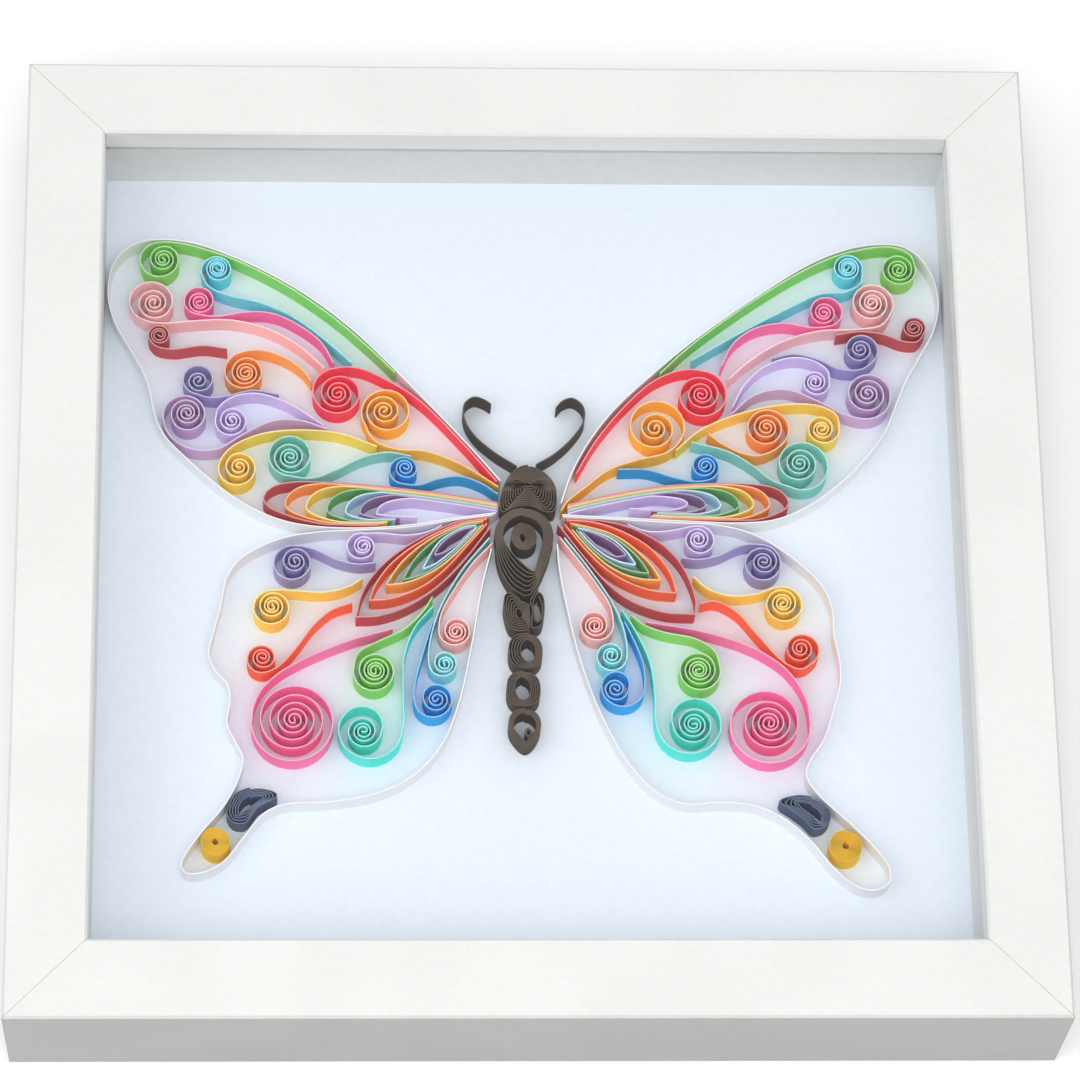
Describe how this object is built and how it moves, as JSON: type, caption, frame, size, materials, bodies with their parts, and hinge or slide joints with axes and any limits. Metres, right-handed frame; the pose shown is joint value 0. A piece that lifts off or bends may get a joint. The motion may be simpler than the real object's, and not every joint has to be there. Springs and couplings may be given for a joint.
{
  "type": "framed quilled paper butterfly",
  "caption": "Square white box frame holding a butterfly of coiled, looped and folded coloured paper strips standing on edge on a white card behind clear glazing.",
  "frame": {"origin": "centre of the frame's back face, which it lies on", "axes": "+Z out of the picture towards the viewer, +Y to the picture's top, +X to its right"},
  "size_m": [0.25, 0.25, 0.035],
  "materials": {
    "wrapped_frame": "white foil wrap, satin",
    "clear_glass": "clear, polished",
    "white_spacer": "white, matt",
    "white_card": "cool white, matt",
    "fibreboard": "bare brown, matt",
    "steel": "bright stamped",
    "white_paper": "matt",
    "brown_paper": "matt",
    "green_paper": "matt",
    "teal_paper": "matt",
    "hot_pink_paper": "matt",
    "salmon_paper": "matt",
    "dark_red_paper": "matt",
    "orange_paper": "matt",
    "violet_paper": "matt",
    "purple_paper": "matt",
    "lavender_paper": "matt",
    "red_paper": "matt",
    "gold_paper": "matt",
    "yellow_paper": "matt",
    "sea_green_paper": "matt",
    "blue_paper": "matt",
    "red_orange_paper": "matt",
    "pink_paper": "matt",
    "turquoise_paper": "matt",
    "light_teal_paper": "matt",
    "coral_paper": "matt",
    "orange_red_paper": "matt",
    "amber_paper": "matt",
    "light_blue_paper": "matt",
    "plum_paper": "matt",
    "slate_paper": "matt",
    "bright_yellow_paper": "matt"
  },
  "bodies": {
    "root": {"frame_rail_top": "wrapped_frame", "frame_rail_left": "wrapped_frame", "frame_rail_bottom": "wrapped_frame", "frame_rail_right": "wrapped_frame", "front_glazing": "clear_glass", "inner_spacer": "white_spacer", "backing_card": "white_card", "back_board": "fibreboard", "retaining_points": "steel", "antennae": "brown_paper", "left_forewing_outline": "white_paper", "right_forewing_outline": "white_paper", "left_hindwing_outline": "white_paper", "right_hindwing_outline": "white_paper", "green_forewing_scrolls": "green_paper", "teal_forewing_scrolls": "teal_paper", "hot_pink_forewing_scrolls": "hot_pink_paper", "salmon_forewing_scrolls": "salmon_paper", "dark_red_forewing_scrolls": "dark_red_paper", "orange_forewing_scrolls": "orange_paper", "violet_forewing_scrolls": "violet_paper", "purple_forewing_scrolls": "purple_paper", "lavender_forewing_scrolls": "lavender_paper", "red_forewing_scrolls": "red_paper", "gold_forewing_scrolls": "gold_paper", "yellow_forewing_scrolls": "yellow_paper", "sea_green_forewing_scrolls": "sea_green_paper", "blue_forewing_scrolls": "blue_paper", "lavender_hindwing_scrolls": "lavender_paper", "violet_hindwing_scrolls": "violet_paper", "yellow_hindwing_scrolls": "yellow_paper", "red_orange_hindwing_scrolls": "red_orange_paper", "big_pink_hindwing_scrolls": "pink_paper", "green_hindwing_scrolls": "green_paper", "turquoise_hindwing_scrolls": "turquoise_paper", "blue_hindwing_scrolls": "blue_paper", "light_teal_hindwing_scrolls": "light_teal_paper", "coral_hindwing_scrolls": "coral_paper", "dark_red_forewing_loops": "dark_red_paper", "orange_forewing_loops": "orange_paper", "yellow_forewing_loops": "yellow_paper", "green_forewing_loops": "green_paper", "light_blue_forewing_loops": "light_blue_paper", "plum_forewing_loops": "plum_paper", "lavender_forewing_loops": "lavender_paper", "dark_red_petal_loops": "dark_red_paper", "orange_red_petal_loops": "orange_red_paper", "amber_petal_loops": "amber_paper", "green_petal_loops": "green_paper", "light_blue_petal_loops": "light_blue_paper", "plum_petal_loops": "plum_paper", "slate_drops": "slate_paper", "tight_yellow_coils": "bright_yellow_paper", "head": "brown_paper", "thorax": "brown_paper", "abdomen_coil_1": "brown_paper", "abdomen_coil_2": "brown_paper", "abdomen_coil_3": "brown_paper", "abdomen_coil_4": "brown_paper"}
  },
  "joints": []
}
